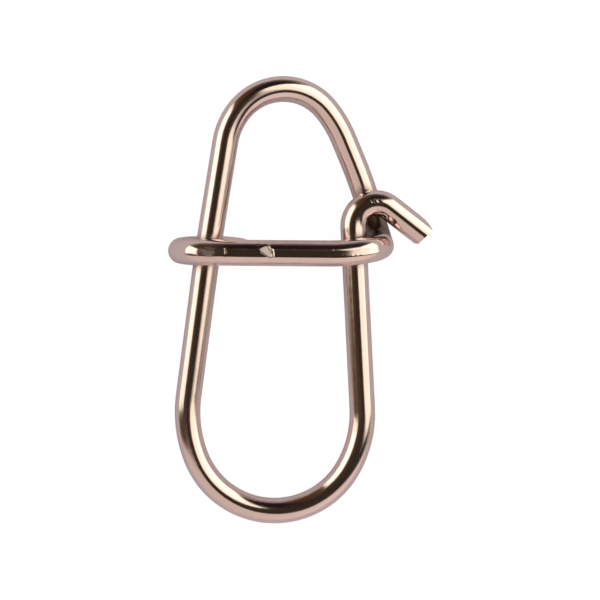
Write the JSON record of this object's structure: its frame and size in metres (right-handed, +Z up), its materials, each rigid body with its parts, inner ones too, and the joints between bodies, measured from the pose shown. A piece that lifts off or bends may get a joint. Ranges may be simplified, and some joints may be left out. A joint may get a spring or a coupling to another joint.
{
  "type": "lure snap",
  "caption": "Bent spring-wire snap for a fishing lure: a long lure bow and a line loop, closed by a hooked tip that hangs over a wrapped cross bar.",
  "frame": {"origin": "centre of the box's underside, on the surface that the snap lies on", "axes": "+Y along the snap from the lure bow to the line loop, +X towards the hook's tip, +Z up from the surface; the cross bar faces up"},
  "size_m": [0.0124, 0.0208, 0.0038],
  "materials": {
    "plated_wire": "polished spring wire with a warm bronze-toned nickel plating"
  },
  "bodies": {
    "root": {"snap_wire": "plated_wire"}
  },
  "joints": []
}
